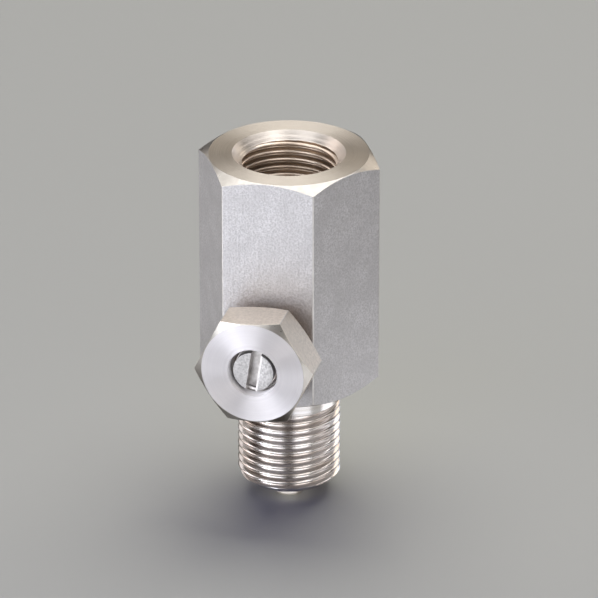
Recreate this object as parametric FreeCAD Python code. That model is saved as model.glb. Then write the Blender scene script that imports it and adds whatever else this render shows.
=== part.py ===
import FreeCAD, Part
import math
import os

# Pressure gauge snubber with an adjustable needle valve, turned from hexagon bar.
# All lengths are in millimetres and all angles in degrees.
# The origin is on the thread axis in the plane of the hexagon's lower shoulder.
# +Z runs up the thread axis to the gauge, and the needle valve faces -Y.

# Hexagon of the body
hex_across_flats = 26.0
hex_height = 39.0
hex_face_circle = 25.7        # turned circle that the corner chamfers leave on each end
corner_chamfer_angle = 30.0   # between the chamfer and the end face
hex_edge_radius = 0.3

# Male end, G 3/8 with a sealing spigot
male_thread_diameter = 16.66
male_end_length = 18.0
male_end_chamfer = 1.1
spigot_diameter = 5.5
spigot_length = 3.0
spigot_chamfer = 0.3

# Female end, G 3/8, for the gauge
port_thread_bore = 14.95
port_mouth_diameter = 18.25
spigot_recess_diameter = 6.5
spigot_recess_depth = 2.0

# Passages
inlet_bore_diameter = 3.0
drill_point_angle = 118.0
orifice_diameter = 2.0
passage_diameter = 2.0
passage_offset = 1.9          # of the slanting passage from the axis, in the recess floor

# Valve chamber and the side port for the bonnet
valve_height = 10.3
side_port_clearance = 0.02    # radial, around the bonnet's shank
side_port_mouth_chamfer = 0.4
deck_thickness = 2.68         # metal between the side port and the recess of the gauge port
chamber_diameter = 8.0
chamber_length = 1.8
seat_wall = 1.7               # metal between the chamber and the inlet bore

# Bonnet
bonnet_across_flats = 17.0
bonnet_hex_length = 7.0
bonnet_face_circle = 16.8
bonnet_rear_circle = 16.2
bonnet_turn = 3.9             # how far the bonnet was tightened past level flats
bonnet_stand_off = 2.25       # of the hexagon from the body's flat, with the gasket clamped
bonnet_relief_diameter = 10.6
bonnet_relief_length = 1.5
bonnet_shank_diameter = 12.0
bonnet_shank_chamfer = 0.6
needle_bore_diameter = 8.0
back_stop_step = 0.4          # radial, from the needle's bore out to the packing bore

# Gasket that the bonnet's shank clamps on the floor of the side port
gasket_inner_diameter = 9.0
gasket_clearance = 0.12       # radial, in the side port
gasket_thickness = 1.0

# Needle
running_clearance = 0.05      # radial, for every fit of the needle
needle_pitch = 1.0
closing_turns = 1.0           # from rest to the seat
opening_turns = 1.5           # from rest to the back stop
needle_recess = 0.5           # of the slotted face in the bonnet's front face
needle_end_chamfer = 0.7
slot_width = 1.6
slot_depth = 2.0
slot_tilt = 8.3               # from +Z towards +X
neck_diameter = 6.6
neck_length = 2.4
land_flange = 0.7
land_cover = 0.75             # of bonnet bore beyond the land when the valve is closed
nose_diameter = 3.2
tip_diameter = 0.5
cone_half_angle = 20.0
seat_gap = 0.1                # along the axis, left at the closed limit
stop_gap = 0.05               # along the axis, left at the open limit

# Seals in the needle's groove
groove_diameter = 6.1
oring_groove_width = 1.9
backup_ring_width = 1.0
ring_side_gap = 0.05

# Bores that follow from what they hold
side_port_diameter = bonnet_shank_diameter + 2 * side_port_clearance
packing_bore_diameter = needle_bore_diameter + 2 * back_stop_step

# Places along the valve's axis, which runs along Y at the height of the valve
flat_y = -hex_across_flats / 2
seat_y = -(inlet_bore_diameter / 2 + seat_wall)
port_floor_y = seat_y - chamber_length
shank_end_y = port_floor_y - gasket_thickness
bonnet_rear_y = flat_y - bonnet_stand_off
relief_end_y = bonnet_rear_y + bonnet_relief_length
bonnet_front_y = bonnet_rear_y - bonnet_hex_length

closing_travel = closing_turns * needle_pitch
opening_travel = opening_turns * needle_pitch
cone_slope = math.tan(math.radians(cone_half_angle))
tip_y = (seat_y + (orifice_diameter - tip_diameter) / 2 / cone_slope
         - seat_gap - closing_travel)
cone_base_y = tip_y - (nose_diameter - tip_diameter) / 2 / cone_slope
groove_width = oring_groove_width + backup_ring_width
land_end_y = shank_end_y - land_cover - closing_travel
groove_end_y = land_end_y - land_flange
groove_start_y = groove_end_y - groove_width
land_start_y = groove_start_y - land_flange
back_stop_y = land_start_y - opening_travel - stop_gap
needle_thread_end_y = land_start_y - neck_length
needle_face_y = bonnet_front_y + needle_recess

# Heights along the thread axis
recess_floor_z = valve_height + side_port_diameter / 2 + deck_thickness
port_floor_z = recess_floor_z + spigot_recess_depth
male_end_z = -male_end_length
spigot_end_z = male_end_z - spigot_length
past = 1.0                    # how far a cutter runs past the face that it starts from


def upright(radius, height):
    """A point of a profile that is turned about the thread axis."""
    return FreeCAD.Vector(radius, 0, height)


def sideways(radius, y):
    """A point of a profile that is turned about the valve's axis."""
    return FreeCAD.Vector(radius, y, valve_height)


def turned(profile, place):
    """The solid that a closed profile of (radius, place on axis) points sweeps in a full turn."""
    points = [place(radius, along) for radius, along in profile]
    face = Part.Face(Part.makePolygon(points + [points[0]]))
    start = place(0, 0)
    return face.revolve(start, place(0, 1) - start, 360)


def hexagon_bar(across_flats, first_corner, corner_angle, length):
    """A hexagon prism. first_corner maps (radius, angle) to a point of its first face."""
    corner_radius = across_flats / math.sqrt(3)
    corners = [first_corner(corner_radius, corner_angle + 60 * i) for i in range(6)]
    face = Part.Face(Part.makePolygon(corners + [corners[0]]))
    return face.extrude(length)


def chamfered_blank(across_flats, circle_a, end_a, circle_b, end_b, place):
    """The turned blank whose end chamfers cut the corners of a hexagon bar."""
    slope = math.tan(math.radians(corner_chamfer_angle))
    radius = across_flats / math.sqrt(3) + past
    toward = 1 if end_b > end_a else -1
    rim_a = end_a + toward * slope * (radius - circle_a / 2)
    rim_b = end_b - toward * slope * (radius - circle_b / 2)
    profile = [(0, end_a), (circle_a / 2, end_a), (radius, rim_a),
               (radius, rim_b), (circle_b / 2, end_b), (0, end_b)]
    return turned(profile, place)


def make_hexagon():
    def corner(radius, angle):
        turn = math.radians(angle)
        return FreeCAD.Vector(radius * math.cos(turn), radius * math.sin(turn), 0)

    bar = hexagon_bar(hex_across_flats, corner, 0, FreeCAD.Vector(0, 0, hex_height))
    upright_edges = [e for e in bar.Edges if abs(e.BoundBox.ZLength - hex_height) < 1e-6]
    bar = bar.makeFillet(hex_edge_radius, upright_edges)
    blank = chamfered_blank(hex_across_flats, hex_face_circle, 0, hex_face_circle, hex_height,
                            upright)
    return bar.common(blank)


def make_male_end():
    thread = male_thread_diameter / 2
    spigot = spigot_diameter / 2
    profile = [(0, spigot_end_z), (spigot - spigot_chamfer, spigot_end_z),
               (spigot, spigot_end_z + spigot_chamfer), (spigot, male_end_z),
               (thread - male_end_chamfer, male_end_z), (thread, male_end_z + male_end_chamfer),
               (thread, 0), (0, 0)]
    return turned(profile, upright)


def gauge_port_cut():
    mouth = port_mouth_diameter / 2
    bore = port_thread_bore / 2
    recess = spigot_recess_diameter / 2
    profile = [(0, recess_floor_z), (recess, recess_floor_z), (recess, port_floor_z),
               (bore, port_floor_z), (bore, hex_height - (mouth - bore)),
               (mouth, hex_height), (mouth, hex_height + past), (0, hex_height + past)]
    return turned(profile, upright)


def inlet_bore_cut():
    """The drilled bore up the axis, which ends in its drill point above the orifice."""
    radius = inlet_bore_diameter / 2
    top = valve_height + orifice_diameter / 2
    point = radius / math.tan(math.radians(drill_point_angle / 2))
    profile = [(0, spigot_end_z - past), (radius, spigot_end_z - past), (radius, top),
               (0, top + point)]
    return turned(profile, upright)


def side_port_cut():
    """The stepped bore for the bonnet, with the chamber and the seat's orifice behind it."""
    port = side_port_diameter / 2
    mouth = port + side_port_mouth_chamfer
    chamber = chamber_diameter / 2
    orifice = orifice_diameter / 2
    profile = [(0, 0), (orifice, 0), (orifice, seat_y), (chamber, seat_y),
               (chamber, port_floor_y), (port, port_floor_y),
               (port, flat_y + side_port_mouth_chamfer), (mouth, flat_y),
               (mouth, flat_y - past), (0, flat_y - past)]
    return turned(profile, sideways)


def slanting_passage_cut():
    """The outlet, drilled through the gauge port from its recess down into the chamber."""
    top = FreeCAD.Vector(0, -passage_offset, recess_floor_z)
    bottom = FreeCAD.Vector(0, (seat_y + port_floor_y) / 2, valve_height + chamber_diameter * 0.4)
    run = top - bottom
    lead = FreeCAD.Vector(run).normalize() * past
    return Part.makeCylinder(passage_diameter / 2, run.Length + past, bottom, run + lead)


def make_body():
    body = make_hexagon().fuse(make_male_end())
    for cut in (gauge_port_cut(), inlet_bore_cut(), side_port_cut(), slanting_passage_cut()):
        body = body.cut(cut)
    return body.removeSplitter()


def make_bonnet():
    def corner(radius, angle):
        turn = math.radians(angle)
        return FreeCAD.Vector(radius * math.cos(turn), bonnet_front_y,
                              valve_height + radius * math.sin(turn))

    bar = hexagon_bar(bonnet_across_flats, corner, bonnet_turn,
                      FreeCAD.Vector(0, bonnet_hex_length, 0))
    blank = chamfered_blank(bonnet_across_flats, bonnet_face_circle, bonnet_front_y,
                            bonnet_rear_circle, bonnet_rear_y, sideways)
    relief = bonnet_relief_diameter / 2
    shank = bonnet_shank_diameter / 2
    stem_profile = [(0, bonnet_rear_y), (relief, bonnet_rear_y), (relief, relief_end_y),
                    (shank, relief_end_y), (shank, shank_end_y - bonnet_shank_chamfer),
                    (shank - bonnet_shank_chamfer, shank_end_y), (0, shank_end_y)]
    bonnet = bar.common(blank).fuse(turned(stem_profile, sideways))
    thread = needle_bore_diameter / 2
    packing = packing_bore_diameter / 2
    bore_profile = [(0, bonnet_front_y - past), (thread, bonnet_front_y - past),
                    (thread, back_stop_y), (packing, back_stop_y),
                    (packing, shank_end_y + past), (0, shank_end_y + past)]
    return bonnet.cut(turned(bore_profile, sideways)).removeSplitter()


def make_gasket():
    inner = gasket_inner_diameter / 2
    outer = side_port_diameter / 2 - gasket_clearance
    profile = [(inner, port_floor_y), (outer, port_floor_y),
               (outer, shank_end_y), (inner, shank_end_y)]
    return turned(profile, sideways)


def slot_cut():
    """The screwdriver slot across the needle's outer end."""
    length = needle_bore_diameter + 2 * past
    depth = slot_depth + past
    corner = FreeCAD.Vector(-slot_width / 2, needle_face_y - past, valve_height - length / 2)
    slot = Part.makeBox(slot_width, depth, length, corner)
    slot.rotate(sideways(0, 0), FreeCAD.Vector(0, 1, 0), slot_tilt)
    return slot


def make_needle():
    thread = needle_bore_diameter / 2 - running_clearance
    land = packing_bore_diameter / 2 - running_clearance
    profile = [(0, needle_face_y), (thread - needle_end_chamfer, needle_face_y),
               (thread, needle_face_y + needle_end_chamfer), (thread, needle_thread_end_y),
               (neck_diameter / 2, needle_thread_end_y), (neck_diameter / 2, land_start_y),
               (land, land_start_y), (land, groove_start_y),
               (groove_diameter / 2, groove_start_y), (groove_diameter / 2, groove_end_y),
               (land, groove_end_y), (land, land_end_y), (nose_diameter / 2, land_end_y),
               (nose_diameter / 2, cone_base_y), (tip_diameter / 2, tip_y), (0, tip_y)]
    return turned(profile, sideways).cut(slot_cut())


def ring_radii():
    """Inner and outer radius of what sits between the groove and the bonnet's bore."""
    return groove_diameter / 2 + running_clearance, packing_bore_diameter / 2 - running_clearance


def make_oring():
    inner, outer = ring_radii()
    section = (outer - inner) / 2
    middle_y = groove_end_y - oring_groove_width / 2
    return Part.makeTorus((inner + outer) / 2, section, sideways(0, middle_y),
                          FreeCAD.Vector(0, 1, 0))


def make_backup_ring():
    inner, outer = ring_radii()
    low_y = groove_start_y + ring_side_gap
    high_y = groove_start_y + backup_ring_width - ring_side_gap
    profile = [(inner, low_y), (outer, low_y), (outer, high_y), (inner, high_y)]
    return turned(profile, sideways)


pieces = {
    "snubber_body": make_body(),
    "valve_bonnet": make_bonnet(),
    "bonnet_gasket": make_gasket(),
    "metering_needle": make_needle(),
    "needle_oring": make_oring(),
    "backup_ring": make_backup_ring(),
}

os.makedirs("parts", exist_ok=True)
for node, shape in pieces.items():
    shape.exportStep("parts/" + node + ".step")
    box = shape.BoundBox
    print("%-16s solids %d valid %s volume %.1f  x %.2f %.2f  y %.2f %.2f  z %.2f %.2f"
          % (node, len(shape.Solids), shape.isValid(), shape.Volume,
             box.XMin, box.XMax, box.YMin, box.YMax, box.ZMin, box.ZMax))
print("gauge port depth %.2f, back stop at y %.2f, seat at y %.2f"
      % (hex_height - port_floor_z, back_stop_y, seat_y))
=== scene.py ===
# %% [markdown]
# # A pressure gauge snubber, dressed in Blender
# The real object is a small stainless fitting. One piece of hexagon bar is turned into a body with
# a gauge thread at each end. A bonnet screwed into its side holds a slotted needle, which throttles
# the pressure pulses before they reach the gauge.
#
# The solids and their joints come from the measured model. This lesson only gives them their skin:
# the cut threads, the broken edges, the finishes, the light and the camera.

# %% Load the measured model
import math

import bmesh
import bpy
import numpy as np
from mathutils import Matrix, Vector


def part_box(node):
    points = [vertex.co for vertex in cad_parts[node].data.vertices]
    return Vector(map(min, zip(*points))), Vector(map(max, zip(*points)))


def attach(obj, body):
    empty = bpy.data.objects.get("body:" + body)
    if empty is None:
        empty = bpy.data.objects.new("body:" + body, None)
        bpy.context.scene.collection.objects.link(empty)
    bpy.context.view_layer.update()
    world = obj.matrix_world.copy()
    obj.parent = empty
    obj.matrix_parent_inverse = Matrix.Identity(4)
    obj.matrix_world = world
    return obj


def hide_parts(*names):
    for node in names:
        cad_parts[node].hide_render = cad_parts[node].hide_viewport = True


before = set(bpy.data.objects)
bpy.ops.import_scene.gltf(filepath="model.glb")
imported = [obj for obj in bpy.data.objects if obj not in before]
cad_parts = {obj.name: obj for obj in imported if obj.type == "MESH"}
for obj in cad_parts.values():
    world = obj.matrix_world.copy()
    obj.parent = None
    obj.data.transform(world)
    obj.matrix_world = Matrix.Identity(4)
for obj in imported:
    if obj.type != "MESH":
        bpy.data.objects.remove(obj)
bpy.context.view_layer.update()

for node in sorted(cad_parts):
    low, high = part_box(node)
    print(node, [round(1000 * value, 2) for value in (*low, *high)])

# %% [markdown]
# ## Sizes
# Blender works in metres and a machinist in millimetres, so every size is written in millimetres
# and one factor turns it into metres at the very end, when a mesh is made. The thread axis is Z.
# The needle's own axis runs along Y at the height of the valve.

# %% Sizes of the body, in millimetres
MM = 0.001

hex_flats = 26.0
hex_top = 39.0
face_circle = 25.7
edge_round = 0.3
chamfer_slope = math.tan(math.radians(30.0))

male_radius = 8.33
male_end = -18.0
male_chamfer = 1.1
spigot_radius, spigot_end, spigot_chamfer = 2.75, -21.0, 0.3
inlet_radius, inlet_end, inlet_point = 1.5, 11.3, 12.2

port_mouth = 9.125
port_floor, recess_floor, recess_radius = 21.0, 19.0, 3.25
valve_height = 10.3

# the round that deburring leaves on an edge, on the rims of the end faces and on the spigot
edge_ease, rim_ease, spigot_ease = 0.05, 0.06, 0.08

# %% [markdown]
# ## Colours
# A colour picked from a picture is an sRGB value, and a shader wants the linear one. One function
# turns a hex code into what the shader reads, so each finish can be written as it is seen. A noise
# texture wants a scale, which is how many marks it draws in a metre, and a second function works
# that out from the size of one mark on the real surface.

# %% Colours and nodes
def colour(code):
    """The linear RGBA of an sRGB hex code."""
    channels = [int(code[i:i + 2], 16) / 255 for i in (1, 3, 5)]
    linear = [c / 12.92 if c <= 0.04045 else ((c + 0.055) / 1.055) ** 2.4 for c in channels]
    return (*linear, 1.0)


def every(size):
    """The scale of a noise whose marks are about this many millimetres wide."""
    return 1 / (size * MM)


def add(tree, kind, inputs=None, **settings):
    """Adds one node, gives it its settings, and fills its inputs with values, other sockets, or
    other nodes, which stand for the first output that they use."""
    node = tree.nodes.new(kind)
    for name, value in settings.items():
        setattr(node, name, value)
    for socket, value in (inputs or {}).items():
        if isinstance(value, bpy.types.Node):
            value = next(output for output in value.outputs if output.enabled)
        if isinstance(value, bpy.types.NodeSocket):
            tree.links.new(value, node.inputs[socket])
        else:
            node.inputs[socket].default_value = value
    return node


def new_material(name):
    material = bpy.data.materials.new(name)
    material.use_nodes = True
    material.node_tree.nodes.clear()
    return material, material.node_tree


# %% [markdown]
# ## How a finish ends
# Up close, no real surface has one even colour. So the finishes of the part and of the table all
# end in the same way: a pattern says, point by point, how much of a lighter and of a darker tone
# shows, and a shader takes that colour with what else the finish has worked out, such as its
# roughness and its bump.

# %% The end of a finish
def end_finish(tree, share, light, dark, inputs):
    """Mixes two tones by share, and sends them to the material's output through a shader with the
    other inputs."""
    tint = add(tree, "ShaderNodeMix", {"Factor": share, "A": colour(dark), "B": colour(light)},
               data_type="RGBA")
    shader = add(tree, "ShaderNodeBsdfPrincipled", {"Base Color": tint, **inputs})
    add(tree, "ShaderNodeOutputMaterial", {"Surface": shader})


# %% [markdown]
# ## Cold drawn flats
# The six flats are never machined. The bar was pulled cold through a die, which leaves fine lines
# along its length and a faint speckle of tiny pits. To the eye that is a satin grey that spreads
# every reflection and sparkles a little. Three noises make it: one stretched along Z for the lines,
# one even for the pits, and a wide one that makes some patches paler. Lines and pits are drawn 0.3
# to 0.4 mm wide, coarser than the real ones, so that they show.

# %% Finish of the drawn flats
def drawn_stainless(name, light, dark, roughness, lines_share=0.6, pit=0.417):
    """lines_share is how strong the lines along Z are beside the pits, and pit their size."""
    material, tree = new_material(name)
    place = add(tree, "ShaderNodeTexCoord").outputs["Object"]
    lengthwise = add(tree, "ShaderNodeMapping", {"Vector": place, "Scale": (1.0, 1.0, 0.04)})
    lines = add(tree, "ShaderNodeTexNoise",
                {"Vector": lengthwise, "Scale": every(0.385), "Detail": 3.0})
    pits = add(tree, "ShaderNodeTexNoise", {"Vector": place, "Scale": every(pit), "Detail": 2.0})
    clouds = add(tree, "ShaderNodeTexNoise", {"Vector": place, "Scale": every(3.85), "Detail": 3.0})
    speckle = add(tree, "ShaderNodeMapRange", {"Value": pits, "From Min": 0.35, "From Max": 0.65})
    patchy = add(tree, "ShaderNodeMath", {0: clouds, 1: speckle}, operation="MULTIPLY")
    grain = add(tree, "ShaderNodeMath", {0: lines, 1: lines_share, 2: pits},
                operation="MULTIPLY_ADD")
    spread = add(tree, "ShaderNodeMapRange", {"Value": pits, "From Min": 0.3, "From Max": 0.7,
                                              "To Min": roughness - 0.05,
                                              "To Max": roughness + 0.07})
    bump = add(tree, "ShaderNodeBump", {"Height": grain, "Strength": 0.8, "Distance": 0.06 * MM})
    end_finish(tree, patchy, light, dark, {"Metallic": 1.0, "Roughness": spread, "Normal": bump})
    return material


drawn_flat = drawn_stainless("cold_drawn_stainless_bar", "#E0DEE0", "#B4B2B3", 0.50, pit=0.294)
print("finish:", drawn_flat.name)

# %% [markdown]
# ## Turned faces
# The ends, the countersink and the bonnet's front face were cut on a lathe. The tool leaves rings
# round the axis, which is why such a face shows a fan of light that turns as the part turns. The
# finish measures the distance from the axis, makes a noise of that one number, and uses it as a
# bump and as a change of roughness. The real feed is near 0.1 mm a turn. It is drawn about 0.3 mm
# wide here, because finer rings vanish in the picture. A wide noise varies the colour a little.
#
# The fan itself comes from the shader's own anisotropy, which spreads a highlight along its
# tangent. Light spreads across the rings, so the tangent is set square to them.
#
# One finish serves for three faces with their own values. The body's end is a warm grey with a
# strong fan, the countersink is brighter and smoother, and the bonnet's face is the palest. These
# differences of tone are painted light and shade, set to how bright each face looks, and the warm
# grey of the body's end is a painted warm reflection.

# %% Finish of the turned faces
def turned_stainless(name, across, centre, light, dark, roughness, depth, stretch):
    """across keeps the two directions square to the axis, and centre is a point of the axis. depth
    is how strong the rings are, and stretch how far they spread a highlight."""
    material, tree = new_material(name)
    texture = add(tree, "ShaderNodeTexCoord")
    place = texture.outputs["Object"]
    offset = add(tree, "ShaderNodeVectorMath", {0: place, 1: centre}, operation="SUBTRACT")
    flat = add(tree, "ShaderNodeVectorMath", {0: offset, 1: across}, operation="MULTIPLY")
    distance = add(tree, "ShaderNodeVectorMath", {0: flat}, operation="LENGTH")
    ring = add(tree, "ShaderNodeTexNoise", {"W": distance, "Scale": every(0.303), "Detail": 2.0},
               noise_dimensions="1D")
    cloud = add(tree, "ShaderNodeTexNoise", {"Vector": place, "Scale": every(3.33), "Detail": 2.0})
    spread = add(tree, "ShaderNodeMapRange", {"Value": ring, "From Min": 0.3, "From Max": 0.7,
                                              "To Min": roughness - 0.04,
                                              "To Max": roughness + 0.05})
    bump = add(tree, "ShaderNodeBump", {"Height": ring, "Strength": depth, "Distance": 0.04 * MM})
    axis = tuple(1.0 - part for part in across)
    along_ring = add(tree, "ShaderNodeVectorMath", {0: flat, 1: axis}, operation="CROSS_PRODUCT")
    square_to_ring = add(tree, "ShaderNodeVectorMath",
                         {0: along_ring, 1: texture.outputs["Normal"]}, operation="CROSS_PRODUCT")
    tangent = add(tree, "ShaderNodeVectorTransform", {0: square_to_ring},
                  vector_type="NORMAL", convert_from="OBJECT", convert_to="WORLD")
    end_finish(tree, cloud, light, dark,
               {"Metallic": 1.0, "Roughness": spread, "Normal": bump, "Anisotropic": stretch,
                "Tangent": tangent})
    return material


valve_centre = (0.0, 0.0, valve_height * MM)
# painted light and shade: each turned face has its own tone, set to how bright it looks
turned_upright = turned_stainless("turned_stainless_body", (1, 1, 0), (0, 0, 0),
                                  "#BEB6AB", "#B2AAA0", 0.50, depth=0.9, stretch=0.72)
turned_cone = turned_stainless("turned_stainless_countersink", (1, 1, 0), (0, 0, 0),
                               "#D9D1C9", "#CDC5BD", 0.38, depth=0.7, stretch=0.4)
turned_sideways = turned_stainless("turned_stainless_bonnet", (1, 0, 1), valve_centre,
                                   "#E8E5E7", "#DEDBDD", 0.62, depth=0.5, stretch=0.9)
print("finishes:", turned_upright.name, turned_cone.name, turned_sideways.name)

# %% [markdown]
# ## Smooth cuts
# A thread is cut with a sharp tool in many light passes, so its flanks are smoother than anything
# else on the part. They act as small mirrors and show the room in thin stripes. The finish is steel
# with a low roughness and a very faint ripple about a millimetre wide. On a thread the ripple is
# drawn out the way the tool went. Its two tones are painted light and shade: the light one is paler
# than plain steel, so that the flanks look brighter than anything else on the part, and the dark
# one is browner, for the brown shade in the grooves.
#
# The tapped thread is duller, since a tap tears a little. It is also browner, which is painted
# shade for the walls of a bore mirroring each other. The chamfers, the deburred edges and the sawn
# slot are the same finish with less shine, and the chamfers are painted a darker steel than the
# rest, which is painted shade. The needle's end was only faced off, so it takes the pitted finish
# in a paler steel.

# %% Finish of threads, chamfers, edges and slot
def smooth_stainless(name, light, dark, roughness, lay=(1.0, 1.0, 1.0)):
    """lay squeezes the ripple along an axis where it is above 1 and draws it out where below."""
    material, tree = new_material(name)
    place = add(tree, "ShaderNodeTexCoord").outputs["Object"]
    along_tool = add(tree, "ShaderNodeMapping", {"Vector": place, "Scale": lay})
    ripple = add(tree, "ShaderNodeTexNoise",
                 {"Vector": along_tool, "Scale": every(1.11), "Detail": 3.0})
    contrast = add(tree, "ShaderNodeMapRange",
                   {"Value": ripple, "From Min": 0.35, "From Max": 0.65})
    spread = add(tree, "ShaderNodeMapRange", {"Value": ripple, "From Min": 0.3, "From Max": 0.7,
                                              "To Min": roughness + 0.03,
                                              "To Max": roughness - 0.03})
    bump = add(tree, "ShaderNodeBump",
               {"Height": ripple, "Strength": 0.008, "Distance": 0.04 * MM})
    end_finish(tree, contrast, light, dark,
               {"Metallic": 1.0, "Roughness": spread, "Normal": bump})
    return material


ROUND_Z = (0.1, 0.1, 2.0)
# painted light and shade: a paler light tone and a browner dark tone than plain steel
thread_finish = smooth_stainless("cut_thread_stainless_painted_light_and_shade", "#F2EFEF", "#D6CDC6", 0.20, ROUND_Z)
# painted shade: the brown stands in for the bore's walls mirroring each other
tapped_finish = smooth_stainless("tapped_thread_stainless_painted_shade", "#E6D8CA", "#AE9F91", 0.34, ROUND_Z)
# painted shade: the chamfers are a darker steel than the other finishes
chamfer_finish = smooth_stainless("chamfered_stainless_painted_shade", "#A9A59F", "#A19C96", 0.30)
edge_finish = smooth_stainless("deburred_stainless_edge", "#CFCCC9", "#C3C0BD", 0.45)
slot_finish = smooth_stainless("sawn_stainless_slot", "#D8D5D4", "#B4B0AE", 0.36)
needle_finish = drawn_stainless("faced_stainless_needle", "#E4E2E2", "#A2A0A0", 0.40,
                                lines_share=0.0, pit=0.3125)
print("finishes:", [m.name for m in (thread_finish, tapped_finish, chamfer_finish, edge_finish,
                                     slot_finish, needle_finish)])

# %% [markdown]
# ## A skin from rings
# Everything on this part was turned or drawn, so its outline is a profile carried round an axis.
# A row of points for each corner of the profile, one point for each direction round the axis, and
# four-sided faces between neighbouring rows give a clean closed skin. Points that land on the same
# spot, as at a pole or where the last row meets the first, are merged.

# %% Skin helper
WELD = 1e-7                       # points closer than this, in metres, are one
HARD_EDGE = math.radians(32)      # faces that meet at more than this stay apart in the shading


def finished_mesh(name, mesh, materials):
    """Merges doubles, turns the faces outwards, keeps hard edges hard and adds the object."""
    work = bmesh.new()
    work.from_mesh(mesh)
    bmesh.ops.remove_doubles(work, verts=work.verts, dist=WELD)
    bmesh.ops.dissolve_degenerate(work, dist=WELD / 10, edges=work.edges)
    bmesh.ops.recalc_face_normals(work, faces=work.faces)
    work.to_mesh(mesh)
    work.free()
    mesh.polygons.foreach_set("use_smooth", [True] * len(mesh.polygons))
    mesh.set_sharp_from_angle(angle=HARD_EDGE)
    for material in materials:
        mesh.materials.append(material)
    piece = bpy.data.objects.new(name, mesh)
    bpy.context.scene.collection.objects.link(piece)
    return piece


def skin(name, rows, finishes, materials):
    """rows is a list of (n, 3) arrays in millimetres, and finishes the material number of the
    faces between each row and the next."""
    count, around = len(rows), len(rows[0])
    points = np.concatenate(rows) * MM
    faces, numbers = [], []
    for i in range(count - 1):
        for j in range(around):
            k = (j + 1) % around
            faces.append((i * around + j, i * around + k,
                          (i + 1) * around + k, (i + 1) * around + j))
            numbers.append(finishes[i])
    mesh = bpy.data.meshes.new(name)
    mesh.from_pydata(points.tolist(), [], faces)
    mesh.polygons.foreach_set("material_index", numbers)
    return finished_mesh(name, mesh, materials)


# %% [markdown]
# ## Broken edges
# No real edge is perfectly sharp. A deburring pass leaves a tiny round that catches a thin line of
# light, and that line is what tells the eye that this is metal. Each corner of a profile may be
# eased: it is replaced by a short curve, with one more point just before and after it, which keeps
# the flats next to it truly flat in the shading.

# %% Easing helper
def eased(profile, steps=4, hold=0.03):
    """profile is a list of (radius, along, ease, finish) whose numbers may be arrays, one value for
    each direction. Returns rows of (radius, along) and the finish after each row."""
    points = [np.stack(np.broadcast_arrays(r, a), axis=-1).astype(float) for r, a, _, _ in profile]
    shape = np.broadcast_shapes(*[p.shape for p in points])
    points = [np.broadcast_to(p, shape) for p in points]
    rows, finishes = [], []
    for i, (_, _, ease, finish) in enumerate(profile):
        here = points[i]
        if ease == 0:
            rows.append(here)
            finishes.append(finish)
            continue
        before, after = points[i - 1] - here, points[(i + 1) % len(points)] - here
        before = before / np.linalg.norm(before, axis=-1, keepdims=True)
        after = after / np.linalg.norm(after, axis=-1, keepdims=True)
        half = np.arccos(np.clip((before * after).sum(-1, keepdims=True), -1, 1)) / 2
        reach = ease / np.tan(half)
        start, end = here + before * reach, here + after * reach
        rows.append(start + before * hold)
        finishes.append(finishes[-1] if finishes else finish)
        for k in range(steps + 1):
            t = k / steps
            rows.append((1 - t) ** 2 * start + 2 * t * (1 - t) * here + t * t * end)
            finishes.append(finish)
        rows.append(end + after * hold)
        finishes.append(finish)
    return rows, finishes


# %% [markdown]
# ## Directions round a hexagon
# A hexagon bar needs points where its flats end and its rounded corners begin, and enough between
# them for the round faces at its ends. The distance from the axis to the outline then follows from
# the flats and the corner radius alone.

# %% Hexagon outline
def hexagon_directions(across_flats, corner_round, first_corner, between=26, in_corner=6):
    """Angles round the axis, and the distance from the axis to the outline at each."""
    apothem = across_flats / 2
    flat_end = 30 - math.degrees(math.atan((apothem - corner_round)
                                           * math.tan(math.radians(30)) / apothem))
    corner = np.linspace(-flat_end, flat_end, in_corner + 1)
    hold = flat_end + 0.15
    flat = np.concatenate([[hold], np.linspace(hold, 60 - hold, between)[1:-1], [60 - hold]])
    one = np.concatenate([corner, flat])
    from_corner = np.concatenate([one] * 6)
    angles = np.radians(np.concatenate([one + 60 * i for i in range(6)]) + first_corner)
    off = np.radians(np.abs((from_corner + 30) % 60 - 30))
    arc_centre = (apothem - corner_round) / math.cos(math.radians(30))
    on_arc = arc_centre * np.cos(off) + np.sqrt(
        np.maximum(corner_round ** 2 - (arc_centre * np.sin(off)) ** 2, 0))
    on_flat = apothem / np.cos(np.radians(30) - off)
    return angles, np.where(off < math.radians(flat_end), on_arc, on_flat)


def about_z(angles, row):
    return np.stack([row[:, 0] * np.cos(angles), row[:, 0] * np.sin(angles), row[:, 1]], axis=-1)


def about_valve(angles, row):
    """The valve's axis: its angles open from +X towards +Z, and along is Y."""
    return np.stack([row[:, 0] * np.cos(angles), row[:, 1],
                     valve_height + row[:, 0] * np.sin(angles)], axis=-1)


def carried_round(name, profile, angles, place, materials, steps=4, close=True):
    rows, finishes = eased(profile, steps)
    rows = [np.broadcast_to(row, (len(angles), 2)) for row in rows]
    if close:
        rows.append(rows[0])
    return skin(name, [place(angles, row) for row in rows], finishes, materials)


# %% [markdown]
# ## The body
# One profile describes the whole body: the floor of the gauge port, the wall behind its thread,
# the end face, the chamfer, the flat, and then down to the spigot and up the inlet bore. The
# chamfer is a cone cut across a hexagon, so on each direction it starts lower the further the
# outline is from the axis. That alone draws the curved line along the top of every flat.

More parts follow.
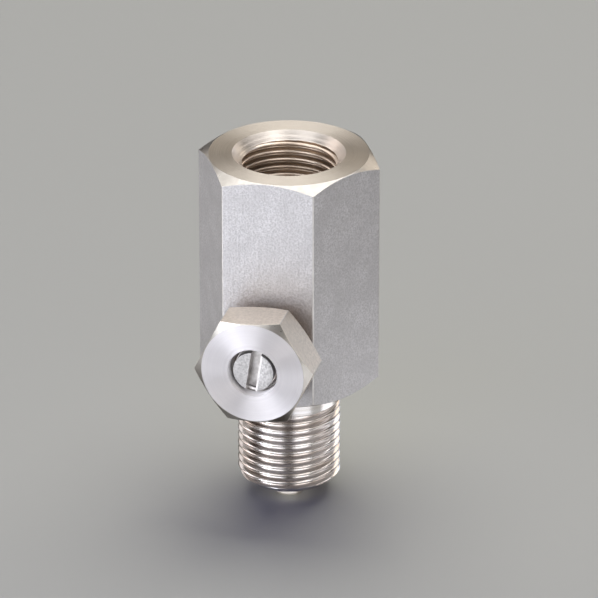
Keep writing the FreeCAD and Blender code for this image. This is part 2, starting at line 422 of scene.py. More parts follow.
# %% Body of hexagon bar
DRAWN, TURNED, CHAMFERED, REAR = 0, 1, 2, 3
angles, outline = hexagon_directions(hex_flats, edge_round, 0.0)
circle = face_circle / 2
chamfer_drop = chamfer_slope * (outline - circle)
body_profile = [
    (0.0, recess_floor, 0, TURNED),
    (recess_radius, recess_floor, 0, TURNED),
    (recess_radius, port_floor, edge_ease, TURNED),
    (port_mouth, port_floor, 0, TURNED),
    (port_mouth, hex_top, 0, TURNED),
    (circle, hex_top, rim_ease, CHAMFERED),
    (outline, hex_top - chamfer_drop, edge_ease, DRAWN),
    (outline, chamfer_drop, edge_ease, CHAMFERED),
    (circle, 0.0, rim_ease, TURNED),
    (spigot_radius, 0.0, 0, TURNED),
    (spigot_radius, spigot_end + spigot_chamfer, spigot_ease, TURNED),
    (spigot_radius - spigot_chamfer, spigot_end, spigot_ease, TURNED),
    (inlet_radius, spigot_end, edge_ease, TURNED),
    (inlet_radius, inlet_end, 0, TURNED),
    (0.0, inlet_point, 0, TURNED),
]
body = carried_round("snubber_body_skin", body_profile, angles, about_z,
                     [drawn_flat, turned_upright, chamfer_finish], close=False)
print("body skin:", len(body.data.polygons), "faces")

# %% [markdown]
# ## Drilled holes
# The side port, the valve's chamber, the orifice and the slanting outlet are cut the way they are
# drilled, each with a tool shape taken away from the body by an exact Boolean. The tools are
# deleted afterwards.

# %% Cut the side port and the passages
def cut_away(piece, tools):
    """Takes the tools away from a piece and gives it the resulting plain mesh."""
    for tool in tools:
        step = piece.modifiers.new(tool.name, "BOOLEAN")
        step.operation, step.solver, step.object = "DIFFERENCE", "EXACT", tool
    settled(piece)
    for tool in tools:
        bpy.data.objects.remove(tool)


def settled(piece):
    """Replaces a piece's mesh by the one that its modifiers make, and removes them."""
    graph = bpy.context.evaluated_depsgraph_get()
    mesh = bpy.data.meshes.new_from_object(piece.evaluated_get(graph))
    piece.modifiers.clear()
    piece.data = mesh
    mesh.set_sharp_from_angle(angle=HARD_EDGE)


round_angles = np.radians(np.arange(0, 360, 3.75))
orifice_radius, chamber_radius, side_port_radius = 1.0, 4.0, 6.02
seat, chamber_end, flat_face = -3.2, -5.0, -hex_flats / 2
mouth_bevel, past = 0.4, 1.0
side_port_profile = [
    (0.0, 0.0, 0, TURNED),
    (orifice_radius, 0.0, 0, TURNED),
    (orifice_radius, seat, 0, TURNED),
    (chamber_radius, seat, 0, TURNED),
    (chamber_radius, chamber_end, 0, TURNED),
    (side_port_radius, chamber_end, 0, TURNED),
    (side_port_radius, flat_face + mouth_bevel, 0, TURNED),
    (side_port_radius + mouth_bevel, flat_face, 0, TURNED),
    (side_port_radius + mouth_bevel + past, flat_face - past, 0, TURNED),
    (0.0, flat_face - past, 0, TURNED),
]
side_port = carried_round("side_port_tool", side_port_profile, round_angles, about_valve,
                          [drawn_flat, turned_upright], close=False)

# the slanting outlet, from inside the chamber up to the floor of the recess
outlet_radius, outlet_foot = 1.0, valve_height + 3.2
top, bottom = Vector((0, -1.9, recess_floor)), Vector((0, -4.1, outlet_foot))
lean = (top - bottom).normalized()
slant = Vector((0, 0, 1)).rotation_difference(lean).to_matrix().to_4x4()
outlet_end = (top - bottom).length + past
outlet_profile = [
    (0.0, 0.0, 0, TURNED),
    (outlet_radius, 0.0, 0, TURNED),
    (outlet_radius, outlet_end, 0, TURNED),
    (0.0, outlet_end, 0, TURNED),
]
outlet = carried_round("outlet_tool", outlet_profile, round_angles[::2], about_z,
                       [drawn_flat, turned_upright], close=False)
outlet.data.transform(Matrix.Translation(bottom * MM) @ slant)
cut_away(body, [side_port, outlet])


def smooth_edges(piece, first_axis, second_axis, first_corner, finish):
    """Gives the rounded corners between a hexagon's flats their own finish. Their faces are upright
    and point more than 3 degrees away from a flat."""
    index = len(piece.data.materials)
    piece.data.materials.append(finish)
    for face in piece.data.polygons:
        across, up = face.normal[first_axis], face.normal[second_axis]
        from_flat = (math.degrees(math.atan2(up, across)) - first_corner) % 60 - 30
        if math.hypot(across, up) > 0.98 and abs(from_flat) > 3 and face.material_index == DRAWN:
            face.material_index = index


smooth_edges(body, 0, 1, 0.0, edge_finish)
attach(body, "housing")
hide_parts("snubber_body")
print("body after drilling:", len(body.data.polygons), "faces")

# %% [markdown]
# ## One tree for every thread
# A thread is a rule, so Geometry Nodes draw it. A flat grid is rolled up: its rows run along the
# axis and its columns round it. Each column is pushed up by its share of one pitch, so the rows
# become a helix and the crest is one unbroken line. The distance from the axis follows a drawn
# thread form, held back by a chamfer at each end and by a fade where the tool left the metal. The
# first and last rows fold inwards, which makes a closed sleeve of metal.
#
# A Side of 1 gives a thread on a shaft and -1 one in a bore, because turning the sign of the
# distance swaps crest and root.
#
# The rule is a row of small sums, and each sum is one Math node. Written as a list, it reads like a
# recipe: what a sum is called, what is done, and what it is done to. Capitals are the tree's own
# inputs, X and Y are a point's place in the flat grid, and small letters are earlier sums. Only
# form and fade aren't sums, and the next step adds them.

# %% Steps of the thread
THREAD_STEPS = [
    # which row a point is on, and its share of a turn
    ("last row", "SUBTRACT", "Rows", 1.0),
    ("row", "ADD", "X", 0.5),
    ("row", "MULTIPLY", "row", "last row"),
    ("row", "ROUND", "row"),
    ("turn", "ADD", "Y", 0.5),

    # how far along the axis it is, with its share of the pitch, kept between the ends
    ("thread row", "SUBTRACT", "row", 1.0),
    ("thread row", "MAXIMUM", "thread row", 0.0),
    ("per row", "DIVIDE", "Pitch", "Rows per Turn"),
    ("climbed", "MULTIPLY", "thread row", "per row"),
    ("turn behind", "SUBTRACT", "turn", 1.0),
    ("climbed", "MULTIPLY_ADD", "turn behind", "Pitch", "climbed"),
    ("along", "ADD", "Start", "climbed"),
    ("along", "MAXIMUM", "along", "Start"),
    ("along", "MINIMUM", "along", "End"),
    ("to end", "SUBTRACT", "End", "along"),
    ("past plain", "SUBTRACT", "to end", "Plain Length"),

    # where in the thread form that is: 0 in the middle of the root and 1 in that of the crest
    ("in form", "SUBTRACT", "along", "Phase"),
    ("turned", "MULTIPLY", "turn", "Pitch"),
    ("in form", "SUBTRACT", "in form", "turned"),
    ("in form", "DIVIDE", "in form", "Pitch"),
    ("in form", "PINGPONG", "in form", 0.5),
    ("in form", "MULTIPLY", "in form", 2.0),

    # signed distances from the axis, of which the crest is always the larger number
    ("crest", "MULTIPLY", "Side", "Crest Radius"),
    ("root", "MULTIPLY", "Side", "Root Radius"),
    ("cut", "SUBTRACT", "crest", "root"),
    ("cut", "MULTIPLY", "cut", "fade"),
    ("metal left", "SUBTRACT", 1.0, "form"),
    ("cut", "MULTIPLY", "cut", "metal left"),
    ("formed", "SUBTRACT", "crest", "cut"),
    ("start cone", "SUBTRACT", "along", "Start"),
    ("start cone", "MULTIPLY_ADD", "Side", "Start Radius", "start cone"),
    ("end cone", "MULTIPLY_ADD", "Side", "End Radius", "to end"),
    ("cones", "MINIMUM", "start cone", "end cone"),
    ("signed", "MINIMUM", "formed", "cones"),
    ("radius", "MULTIPLY", "signed", "Side"),

    # the first row and the last two fold in to the sleeve's other wall
    ("first", "LESS_THAN", "row", 0.5),
    ("before final", "SUBTRACT", "last row", 0.5),
    ("final", "GREATER_THAN", "row", "before final"),
    ("before late", "SUBTRACT", "last row", 1.5),
    ("late", "GREATER_THAN", "row", "before late"),
    ("fold", "MAXIMUM", "first", "late"),
    ("inwards", "SUBTRACT", "Sleeve Radius", "radius"),
    ("radius", "MULTIPLY_ADD", "fold", "inwards", "radius"),
    ("back", "SUBTRACT", "Start", "along"),
    ("along", "MULTIPLY_ADD", "final", "back", "along"),

    # round the axis
    ("angle", "MULTIPLY", "turn", 2 * math.pi),
    ("across", "COSINE", "angle"),
    ("across", "MULTIPLY", "radius", "across"),
    ("up", "SINE", "angle"),
    ("up", "MULTIPLY", "radius", "up"),
]
print("steps of the thread:", len(THREAD_STEPS))

# %% [markdown]
# ## Building the tree
# The tree makes the grid, hands the list its inputs and ends by putting every point in its place.
# Two nodes do what a sum can't. A curve draws the thread form, with a straight flank between a
# rounded root and a rounded crest. A smooth step fades the cut out near the end. The steps use what
# these two give, and give back what they ask for.

# %% Thread tree
# shares of the way from root to crest and of the depth: two points in each round, and a straight
# flank between them
THREAD_FORM = ((0.122, 0.022), (0.244, 0.115), (0.756, 0.885), (0.878, 0.978))
THREAD_INPUTS = {
    "Rows": "Int", "Columns": "Int", "Rows per Turn": "Int", "Side": "Float",
    "Crest Radius": "Float", "Root Radius": "Float", "Sleeve Radius": "Float", "Pitch": "Float",
    "Start": "Float", "End": "Float", "Start Radius": "Float", "End Radius": "Float",
    "Plain Length": "Float", "Fade Length": "Float", "Phase": "Float", "Finish": "Material",
}


def build_thread_tree():
    tree = bpy.data.node_groups.new("cut_thread", "GeometryNodeTree")
    tree.interface.new_socket("Geometry", in_out="OUTPUT", socket_type="NodeSocketGeometry")
    for name, kind in THREAD_INPUTS.items():
        tree.interface.new_socket(name, in_out="INPUT", socket_type="NodeSocket" + kind)
    given = add(tree, "NodeGroupInput").outputs
    grid = add(tree, "GeometryNodeMeshGrid", {"Size X": 1.0, "Size Y": 1.0,
                                              "Vertices X": given["Rows"],
                                              "Vertices Y": given["Columns"]})
    at = add(tree, "ShaderNodeSeparateXYZ", {0: add(tree, "GeometryNodeInputPosition")}).outputs

    form = add(tree, "ShaderNodeFloatCurve")
    for share, height in THREAD_FORM:
        form.mapping.curves[0].points.new(share, height)
    form.mapping.update()
    fade = add(tree, "ShaderNodeMapRange", {"From Min": 0.0, "From Max": given["Fade Length"]},
               interpolation_type="SMOOTHSTEP")

    known = {name: given[name] for name in THREAD_INPUTS}
    known.update({"X": at["X"], "Y": at["Y"], "form": form, "fade": fade})
    for name, operation, *terms in THREAD_STEPS:
        inputs = {place: known.get(term, term) for place, term in enumerate(terms)}
        known[name] = add(tree, "ShaderNodeMath", inputs, operation=operation)
    tree.links.new(known["in form"].outputs[0], form.inputs["Value"])
    tree.links.new(known["past plain"].outputs[0], fade.inputs["Value"])

    placed = add(tree, "ShaderNodeCombineXYZ", {"X": known["across"], "Y": known["up"],
                                                "Z": known["along"]})
    rolled = add(tree, "GeometryNodeSetPosition", {"Geometry": grid, "Position": placed})
    welded = add(tree, "GeometryNodeMergeByDistance", {"Geometry": rolled, "Distance": WELD})
    real = add(tree, "GeometryNodeRealizeInstances", {"Geometry": welded})
    painted = add(tree, "GeometryNodeSetMaterial", {"Geometry": real,
                                                    "Material": given["Finish"]})
    add(tree, "NodeGroupOutput", {"Geometry": painted})
    return tree


thread_tree = build_thread_tree()
print("thread tree:", len(thread_tree.nodes), "nodes")

# %% [markdown]
# ## Cutting a thread
# A call to the tree needs only what a thread table gives: the crest, the root, the pitch and where
# it starts and ends. The sleeve is made a plain mesh at once. On the valve it is then turned from
# the Z axis on to Y, which keeps a right-hand thread right-handed.

# %% Thread helper
TO_VALVE = Matrix.Translation((0, 0, valve_height * MM))
ONTO_VALVE = TO_VALVE @ Matrix.Rotation(-math.pi / 2, 4, "X")
ANY_OUTER, ANY_INNER = 20.0, 0.0  # end radii that take no chamfer off a shaft or a bore
NO_FADE = 0.001


def cut_thread(name, side, crest, root, sleeve, pitch, start, end, start_radius, end_radius,
               plain=-0.01, fade=NO_FADE, phase=0.0, columns=160, per_turn=20, on_valve=False,
               finish=thread_finish):
    """Sizes in millimetres, with start below end along the axis. Without a plain length the thread
    keeps its form right to the end, so plain is then just below zero."""
    piece = bpy.data.objects.new(name, bpy.data.meshes.new(name))
    bpy.context.scene.collection.objects.link(piece)
    spare_rows = 4  # for the folds at both ends
    rows = math.ceil((end - start + pitch) / pitch * per_turn) + spare_rows
    values = {"Rows": rows, "Columns": columns + 1, "Rows per Turn": per_turn,
              "Side": float(side), "Crest Radius": crest * MM, "Root Radius": root * MM,
              "Sleeve Radius": sleeve * MM, "Pitch": pitch * MM, "Start": start * MM,
              "End": end * MM, "Start Radius": start_radius * MM, "End Radius": end_radius * MM,
              "Plain Length": plain * MM, "Fade Length": fade * MM,
              "Phase": phase * MM, "Finish": finish}
    step = piece.modifiers.new("cut_thread", "NODES")
    step.node_group = thread_tree
    for item in thread_tree.interface.items_tree:
        if item.in_out == "INPUT":
            step[item.identifier] = values[item.name]
    graph = bpy.context.evaluated_depsgraph_get()
    mesh = bpy.data.meshes.new_from_object(piece.evaluated_get(graph))
    bpy.data.objects.remove(piece)
    mesh.materials.pop(index=0)  # the grid's own empty slot
    if on_valve:
        mesh.transform(ONTO_VALVE)
    made = finished_mesh(name, mesh, [])
    print(name, len(made.data.polygons), "faces,", round((end - start) / pitch, 1), "turns")
    return made


# %% [markdown]
# ## The threads of the body
# Both ends carry the same gauge thread: nineteen threads to the inch, so a pitch of 1.337 mm. The
# male end keeps a plain neck under the hexagon, because the tool is drawn back before it reaches
# the shoulder, and its last groove fades out within a fraction of a turn. The gauge port opens
# with a wide countersink, where the chamfer of the sleeve does the work. Its thread fades out too
# just inside, so the countersink ends in a clean round lip. Each phase turns a thread to where
# its crests stand on the real part.

# %% Male end and gauge port
gauge_pitch = 1.337
gauge_root = 7.475
male_thread = cut_thread("male_thread_end", side=1, crest=male_radius, root=gauge_root,
                         sleeve=spigot_radius, pitch=gauge_pitch, start=male_end, end=0.0,
                         start_radius=male_radius - male_chamfer, end_radius=ANY_OUTER,
                         plain=3.85, fade=0.3, phase=1.054)
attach(male_thread, "housing")

port_thread = cut_thread("gauge_port_thread", side=-1, crest=gauge_root, root=male_radius + 0.05,
                         sleeve=port_mouth, pitch=gauge_pitch, start=port_floor, end=hex_top,
                         start_radius=ANY_INNER, end_radius=port_mouth, plain=1.25, fade=0.2,
                         phase=-0.02, finish=tapped_finish)

# the countersink was turned, so it takes that finish instead of the thread's
port_thread.data.materials.append(turned_cone)
for face in port_thread.data.polygons:
    narrowed = port_mouth - math.hypot(face.center.x, face.center.y) / MM
    deep = hex_top - face.center.z / MM
    if abs(narrowed - deep) < 0.02:
        face.material_index = 1
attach(port_thread, "housing")

# %% [markdown]
# ## The bonnet
# The bonnet is a smaller hexagon whose front face was turned and whose corners were chamfered at
# both ends. Behind it a relief runs out to the shank that screws into the body. It was tightened
# until it sealed, so its flats ended 3.9 degrees past level. The profile is carried round the
# valve's axis in the same way as the body's. The mouth of its bore is plain for 2 mm before the
# inner thread starts, and its edge is broken.
#
# The back of the bonnet faces the body's flat at a few millimetres, and the two mirror each other
# again and again. Steel is a little warm, so each mirroring makes the light browner. That brown is
# painted shade here: the rear finish is a browner steel than the real one, and the flat round the
# bonnet mirrors it as a brown shade.

# %% Bonnet
bonnet_flats, bonnet_round, bonnet_turn = 17.0, 0.12, 3.9
bonnet_circle, rear_circle = 8.4, 8.1
bonnet_front, bonnet_rear, relief_end = -22.25, -15.25, -13.75
shank_end, back_stop = -6.0, -13.6
relief_radius, shank_core, packing_radius = 5.3, 5.2, 4.4
bore_radius, mouth_ease = 4.02, 0.12

# painted warm reflection: the flats' warm tone also warms the shade round the bonnet
bonnet_flat = drawn_stainless("milled_stainless_bonnet_flats", "#E4DACE", "#C3B9AD", 0.45,
                              lines_share=0.0)
# painted shade: the back of the bonnet is painted brown, and the body's flat mirrors it as a brown
# shade
rear_painted_shade_finish = smooth_stainless("bonnet_rear_painted_brown_shade", "#D2BCA6", "#C4AC94", 0.38)
angles, outline = hexagon_directions(bonnet_flats, bonnet_round, bonnet_turn, between=20,
                                     in_corner=4)
front_drop = chamfer_slope * (outline - bonnet_circle)
rear_drop = chamfer_slope * (outline - rear_circle)
bonnet_profile = [
    (bore_radius, bonnet_front, mouth_ease, TURNED),
    (bonnet_circle, bonnet_front, edge_ease, CHAMFERED),
    (outline, bonnet_front + front_drop, edge_ease, DRAWN),
    (outline, bonnet_rear - rear_drop, edge_ease, REAR),
    (rear_circle, bonnet_rear, edge_ease, REAR),
    (relief_radius, bonnet_rear, 0, REAR),
    (relief_radius, relief_end, 0, REAR),
    (shank_core, relief_end, 0, TURNED),
    (shank_core, shank_end, 0, TURNED),
    (packing_radius, shank_end, 0, TURNED),
    (packing_radius, back_stop, 0, TURNED),
    (bore_radius, back_stop, 0, TURNED),
]
bonnet = carried_round("valve_bonnet_skin", bonnet_profile, angles, about_valve,
                       [bonnet_flat, turned_sideways, chamfer_finish, rear_painted_shade_finish])
smooth_edges(bonnet, 0, 2, bonnet_turn, edge_finish)
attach(bonnet, "housing")
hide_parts("valve_bonnet")

needle_pitch, plain_mouth = 1.0, 1.95
bore_thread = cut_thread("bonnet_bore_thread", side=-1, crest=3.5, root=3.99, sleeve=bore_radius,
                         pitch=needle_pitch, start=bonnet_front + plain_mouth, end=back_stop,
                         start_radius=bore_radius, end_radius=ANY_INNER, phase=0.5, columns=112,
                         per_turn=14, on_valve=True, finish=slot_finish)
shank_thread = cut_thread("bonnet_shank_thread", side=1, crest=6.0, root=5.39, sleeve=shank_core,
                          pitch=1.0, start=relief_end, end=shank_end, start_radius=5.5,
                          end_radius=5.4, columns=128, per_turn=14, on_valve=True)
for sleeve in (bore_thread, shank_thread):
    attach(sleeve, "housing")
print("bonnet skin:", len(bonnet.data.polygons), "faces")

# %% [markdown]
# ## The needle
# The needle is a threaded plug with a plain end and a screwdriver slot. Behind its thread come a
# neck, the land that holds the seals in a groove, and the cone that closes the orifice. Its thread
# starts half a pitch away from the bonnet's, so the crests of one stand in the grooves of the
# other, with a little room between them. A turn of the needle moves it by exactly one pitch, so
# they still fit each other at every setting.
#
# The slot is sawn, and a screwdriver has worn a bevel along one of its edges, which shows as a
# bright strip. A prism with that section is taken away from the plug.

# %% Needle
needle_face, pilot_length = -21.75, 1.55
core_radius, land_radius, groove_radius, nose_radius, tip_radius = 3.3, 4.35, 3.05, 1.6, 0.25
land_start, groove_start, groove_end, land_end = -12.05, -11.35, -8.45, -7.75
cone_base, tip, tip_ease = -5.95, -2.2415, 0.03
plug = cut_thread("metering_needle_skin", side=1, crest=3.95, root=3.4, sleeve=0.0,
                  pitch=needle_pitch, start=needle_face + pilot_length, end=-14.45,
                  start_radius=3.36, end_radius=3.4, columns=112, per_turn=14, on_valve=True)
stem_profile = [
    (0.0, needle_face, 0, 0),
    (core_radius, needle_face, edge_ease, 0),
    (core_radius, land_start, 0, 0),
    (land_radius, land_start, edge_ease, 0),
    (land_radius, groove_start, edge_ease, 0),
    (groove_radius, groove_start, 0, 0),
    (groove_radius, groove_end, 0, 0),
    (land_radius, groove_end, edge_ease, 0),
    (land_radius, land_end, edge_ease, 0),
    (nose_radius, land_end, 0, 0),
    (nose_radius, cone_base, edge_ease, 0),
    (tip_radius, tip, tip_ease, 0),
    (0.0, tip, 0, 0),
]
stem = carried_round("needle_stem", stem_profile, round_angles, about_valve, [needle_finish],
                     close=False)


def prism(name, section, length, matrix, material):
    """A straight prism used only as a cutting tool. Its section is a list of (x, y), it is as long
    as length along Z about the middle, all in millimetres, and the matrix moves it."""
    count = len(section)
    points = [(x * MM, y * MM, end * length / 2 * MM) for end in (-1, 1) for x, y in section]
    sides = [(i, (i + 1) % count, count + (i + 1) % count, count + i) for i in range(count)]
    ends = [tuple(range(count))[::-1], tuple(range(count, 2 * count))]
    mesh = bpy.data.meshes.new(name)
    mesh.from_pydata(points, [], sides + ends)
    mesh.transform(matrix)
    return finished_mesh(name, mesh, [material])


slot_half, slot_floor, slot_tilt, slot_length = 0.8, needle_face + 2.0, 8.3, 12.0
worn_width, worn_depth, broken, clear = 0.3, 0.11, 0.05, 0.22
saw_start = needle_face - clear
slot_section = [(-slot_half, slot_floor), (slot_half, slot_floor),
                (slot_half, needle_face + worn_depth),
                (slot_half + worn_width / worn_depth * (worn_depth + clear), saw_start),
                (-slot_half - broken - clear, saw_start), (-slot_half, needle_face + broken)]
slot_turn = TO_VALVE @ Matrix.Rotation(math.radians(slot_tilt), 4, "Y")
slot = prism("needle_slot", slot_section, slot_length, slot_turn, slot_finish)
for tool, operation in ((stem, "UNION"), (slot, "DIFFERENCE")):
    step = plug.modifiers.new(tool.name, "BOOLEAN")
    step.operation, step.solver, step.object = operation, "EXACT", tool
    step.material_mode = "TRANSFER"
settled(plug)
bpy.data.objects.remove(stem)
bpy.data.objects.remove(slot)

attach(plug, "needle")
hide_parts("metering_needle")
print("needle:", len(plug.data.polygons), "faces")

# %% [markdown]
# ## Seals
# Three pieces hide inside the valve, and their measured solids already have the right shape, so
# they keep it and only get a finish: an annealed copper gasket, a moulded rubber ring and a turned
# white fluoropolymer ring behind it. Their real grain is too fine to see and is drawn 0.25 to
# 0.7 mm wide.

# %% Finish of the seals
def soft_finish(name, light, dark, metallic, roughness, grain_size, depth):
    material, tree = new_material(name)
    place = add(tree, "ShaderNodeTexCoord").outputs["Object"]
    grain = add(tree, "ShaderNodeTexNoise",
                {"Vector": place, "Scale": every(grain_size), "Detail": 4.0})
    bump = add(tree, "ShaderNodeBump",
               {"Height": grain, "Strength": depth, "Distance": 0.03 * MM})
    end_finish(tree, grain, light, dark,
               {"Metallic": metallic, "Roughness": roughness, "Normal": bump})
    return material


seal_finishes = {
    "bonnet_gasket": soft_finish("annealed_copper", "#D08A62", "#B06A45", 1.0, 0.38, 0.667, 0.2),
    "needle_oring": soft_finish("moulded_nitrile_rubber", "#1D1D1E", "#131314", 0.0, 0.55, 0.25,
                                0.3),
    "backup_ring": soft_finish("turned_fluoropolymer", "#E9E7E1", "#DAD8D2", 0.0, 0.45, 0.556,
                               0.2),
}
for node, finish in seal_finishes.items():
    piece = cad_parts[node]
    piece.data.materials.clear()
    piece.data.materials.append(finish)
    print(node, "is", finish.name)

# %% [markdown]
# ## Floor
# The part stands on its spigot on a plain grey table with a dull, satin surface. The table keeps a
# soft shadow and a little blurred reflection under the part, which ties it to the ground. Its grey
# drifts a little over a hand's width, so that it isn't one flat colour.

# %% Floor
def table_finish():
    material, tree = new_material("satin_grey_table")
    place = add(tree, "ShaderNodeTexCoord").outputs["Object"]
    cloud = add(tree, "ShaderNodeTexNoise", {"Vector": place, "Scale": every(167), "Detail": 2.0})
    end_finish(tree, cloud, "#BEBDB1", "#BAB9AD", {"Roughness": 0.45, "Specular IOR Level": 0.3})
    return material


half = 6.0
floor_mesh = bpy.data.meshes.new("floor")
floor_mesh.from_pydata([(-half, -half, 0), (half, -half, 0), (half, half, 0), (-half, half, 0)],
                       [], [(0, 1, 2, 3)])
floor_mesh.transform(Matrix.Translation((0, 0, spigot_end * MM)))
floor_mesh.materials.append(table_finish())
floor = bpy.data.objects.new("floor", floor_mesh)
bpy.context.scene.collection.objects.link(floor)
print("floor at", spigot_end, "mm")

# %% [markdown]
# ## Light
# Metal has almost no colour of its own: it shows what stands round it. So most of these lamps are
# cards that are only mirrored. They light nothing else, and each is placed where some face of the
# part looks for the camera: the way from the camera to the face, bounced off it.
#
# A lamp's power is hard to guess, but how bright its face should look is easy: 1 would mirror as
# white in a perfect mirror. The helper takes that number and works out the power.

# %% Lamp helpers
def lamp(name, centre, target, width, height, radiance, code, lights_floor=False,
         mirrored=True):
    """A soft panel in metres that looks at a target. It is a card that only shows in metal, unless
    it lights_floor."""
    data = bpy.data.lights.new(name, "AREA")
    data.shape, data.size, data.size_y = "RECTANGLE", width, height
    data.energy = radiance * math.pi * width * height
    data.color = colour(code)[:3]
    panel = bpy.data.objects.new(name, data)
    panel.location = centre
    panel.rotation_euler = (Vector(target) - Vector(centre)).to_track_quat("-Z", "Y").to_euler()
    panel.visible_camera = False
    panel.visible_diffuse = lights_floor
    panel.visible_glossy = mirrored
    bpy.context.scene.collection.objects.link(panel)
    return panel


def toward(azimuth, distance, height):
    """A point in metres. Azimuth 0 is in front of the bonnet, and 90 is to its right."""
    turn = math.radians(azimuth)
    return (distance * math.sin(turn), -distance * math.cos(turn), height)


# %% [markdown]
# ## Lamps that light the table
# One large panel hangs overhead. It alone makes the shadow, and the chamfers and the countersink
# mirror it. A weak blue lamp that nothing mirrors reaches where the panel doesn't, so the shadow
# turns a little blue.

# %% Lamps that light the table
lamp("overhead_panel", (0, 0.2, 0.8), (0, 0, 0), 0.93, 0.84, 3.2, "#FFFFFF", lights_floor=True)
lamp("cool_fill", (0, -1.2, 1.0), (0, 0, 0), 1.5, 1.0, 0.6, "#4060FF", lights_floor=True,
     mirrored=False)

# %% [markdown]
# ## Cards round the part
# Two tall cards stand in front with a gap between them at the camera, which puts two bright bands
# and the dark line between them on every thread. The key softbox makes the fan on the bonnet's
# face: the fan points half way between the lamp and the camera. Cards at the sides and behind fill
# the faces that look away, warm where the steel looks warm, and a tiny one lights the spigot's rim.

# %% Cards round the part
middle = (0, 0, 0.02)
# azimuth in degrees, distance, height, width and length in metres, radiance and colour
CARDS = {
    "key_softbox": (-41, 0.66, 0.13, 0.26, 0.36, 6.8, "#F4F7FF"),
    "front_left_card": (-21, 0.7, 0.38, 0.54, 0.76, 2.4, "#F8FAFF"),
    "front_right_card": (46, 0.7, 0.38, 0.46, 0.76, 2.3, "#FFFDFC"),
    "right_card": (92, 0.7, 0.3, 0.5, 0.6, 1.0, "#FFF8F6"),
    "back_right_card": (148, 0.7, 0.045, 0.5, 0.18, 2.0, "#E6EFFF"),
    "high_right_card": (160, 0.7, 0.36, 0.36, 0.28, 1.8, "#FFF4E6"),
    "back_left_card": (-134, 0.7, 0.25, 0.28, 0.22, 0.95, "#FFF8F4"),
    "left_card": (-100, 0.7, 0.3, 0.4, 0.5, 1.35, "#FFF0EA"),
    "high_left_card": (-116, 0.55, 0.65, 0.4, 0.4, 1.9, "#FFFFFF"),
    "back_card": (186, 0.75, 0.5, 0.4, 0.35, 0.4, "#FFEFD8"),
}
for name, (turn, distance, height, width, length, radiance, code) in CARDS.items():
    lamp(name, toward(turn, distance, height), middle, width, length, radiance, code)
lamp("spigot_card", toward(15, 0.005, spigot_end * MM + 0.0008), (0, 0, -0.0192), 0.008, 0.0014,
     5.6, "#EEF3FF")
print("cards round the part:", len(CARDS) + 1)

# %% [markdown]
# ## Cards on the table
# A camera that looks down sees the table in every upright face. Pale cards lie there for the
# flats, for the plain neck above the thread and for the slot. A panel that looks straight up has no
# roll of its own, so each gets a turn that points it at the part.

# %% Cards on the table
# centre, width and length in metres, azimuth in degrees, radiance
TABLE_CARDS = {
    "table_card_left": ((-0.15, -0.24), 0.30, 0.39, 0, 0.95),
    "table_card_right": (toward(44, 0.20, 0), 0.06, 0.28, 44, 1.5),
    "neck_card": (toward(42, 0.048, 0), 0.026, 0.034, 42, 0.62),
    "neck_card_right": (toward(104, 0.047, 0), 0.024, 0.026, 104, 1.2),
    "left_flat_card": (toward(-135, 0.10, 0), 0.07, 0.08, -135, 0.22),
    "right_flat_card": (toward(105, 0.105, 0), 0.07, 0.08, 105, 0.22),
    "slot_card": ((-0.055, -0.060), 0.03, 0.03, -42, 1.6),
}
for name, (centre, width, length, turn, radiance) in TABLE_CARDS.items():
    card = lamp(name, (*centre[:2], spigot_end * MM + 0.001), (0, 0, 0), width, length, radiance,
                "#F6F8FF")
    card.rotation_euler = (math.pi, 0, math.radians(turn))
print("cards on the table:", len(TABLE_CARDS))

# %% [markdown]
# ## Dark cards
# A thread's lower flanks see the pale table and would look milky. Photographers lay dark cards
# where the steel should go dark, and so does this scene. They are brown, because the grooves of
# the real thread look brown. Only metal sees them: the camera doesn't, they throw no shadow, and
# from below, where the table would see them, they are clear.

# %% Dark cards
def velvet():
    """Dark pile that swallows light. The table under it still sees through its back."""
    material, tree = new_material("dark_velvet_card")
    place = add(tree, "ShaderNodeTexCoord").outputs["Object"]
    pile = add(tree, "ShaderNodeTexNoise", {"Vector": place, "Scale": every(0.5)})
    tint = add(tree, "ShaderNodeMix", {"Factor": pile, "A": colour("#3A2A1D"),
                                       "B": colour("#463324")}, data_type="RGBA")
    cloth = add(tree, "ShaderNodeBsdfPrincipled", {"Base Color": tint, "Roughness": 0.9,
                                                   "Specular IOR Level": 0.0})
    behind = add(tree, "ShaderNodeNewGeometry").outputs["Backfacing"]
    clear = add(tree, "ShaderNodeBsdfTransparent")
    mixed = add(tree, "ShaderNodeMixShader", {0: behind, 1: cloth, 2: clear})
    add(tree, "ShaderNodeOutputMaterial", {"Surface": mixed})
    return material


def dark_card(name, turn, near, far, width, finish):
    """A card on the table along an azimuth, from near to far, in metres."""
    card_mesh = bpy.data.meshes.new(name)
    across, ahead = Vector(toward(turn + 90, width / 2, 0)), Vector(toward(turn, 1.0, 0))
    height = Vector((0, 0, spigot_end * MM + 0.0005))
    corners = [ahead * near - across, ahead * near + across, ahead * far + across,
               ahead * far - across]
    card_mesh.from_pydata([corner + height for corner in corners], [], [(3, 2, 1, 0)])
    card_mesh.materials.append(finish)
    card = bpy.data.objects.new(name, card_mesh)
    card.visible_camera = card.visible_diffuse = card.visible_shadow = False
    bpy.context.scene.collection.objects.link(card)


card_finish = velvet()
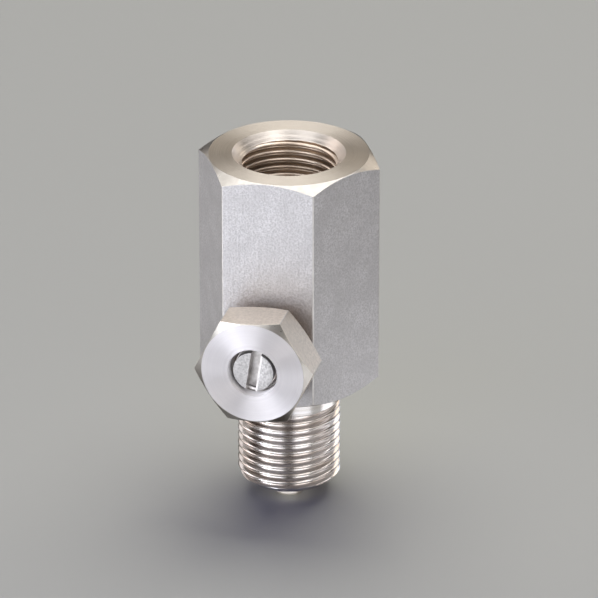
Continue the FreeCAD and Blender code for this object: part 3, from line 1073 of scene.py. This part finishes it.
# azimuth in degrees, near end, far end and width in metres
DARK_CARDS = {
    "dark_card_left": (-68, 0.019, 0.075, 0.022),
    "dark_card_front": (15, 0.019, 0.065, 0.009),
    "dark_card_left_edge": (-120, 0.019, 0.042, 0.022),
    "dark_card_right_edge": (168, 0.019, 0.046, 0.034),
}
for name, (turn, near, far, width) in DARK_CARDS.items():
    dark_card(name, turn, near, far, width, card_finish)
print("dark cards:", len(DARK_CARDS))

# %% [markdown]
# ## The room
# What no lamp covers is the room itself. Steel mirrors it as a warm dark grey, the tone of the
# real thread's grooves. What the room adds to the table is a dim blue instead, which only the
# shadow shows. Light Path tells the two apart.

# %% Room
world = bpy.data.worlds.new("studio")
world.use_nodes = True
mirrored_ray = add(world.node_tree, "ShaderNodeLightPath").outputs["Is Glossy Ray"]
room_tint = add(world.node_tree, "ShaderNodeMix",
                {"Factor": mirrored_ray, "A": colour("#161C4A"), "B": colour("#4A4642")},
                data_type="RGBA")
room = world.node_tree.nodes["Background"]
world.node_tree.links.new(room_tint.outputs["Result"], room.inputs["Color"])
bpy.context.scene.world = world
print("room:", world.name)

# %% [markdown]
# ## Camera
# The camera was worked out from measured corners of the hexagons and the rims of the bores: it
# stands 15 degrees to the right of the bonnet's front, looks down by 25 degrees, and is almost a
# metre away with a long lens, which is why upright edges look parallel.

# %% Camera
azimuth, elevation = math.radians(15.034), math.radians(25.335)
camera_place = (0.2319, -0.8572, 0.4336)
lens_length, sensor_width = 366.9, 36.0
out = Vector((math.sin(azimuth) * math.cos(elevation), -math.cos(azimuth) * math.cos(elevation),
              math.sin(elevation)))
right = Vector((math.cos(azimuth), math.sin(azimuth), 0))
up = out.cross(right)
camera_data = bpy.data.cameras.new("camera")
camera_data.sensor_width, camera_data.lens = sensor_width, lens_length
camera_data.clip_start, camera_data.clip_end = 0.05, 30.0
camera = bpy.data.objects.new("camera", camera_data)
facing = Matrix((right, up, out)).transposed().to_4x4()
camera.matrix_world = Matrix.Translation(camera_place) @ facing
bpy.context.scene.collection.objects.link(camera)
bpy.context.scene.camera = camera
bpy.context.scene.view_settings.view_transform = "Standard"
print("camera at", [round(value, 4) for value in camera.location])
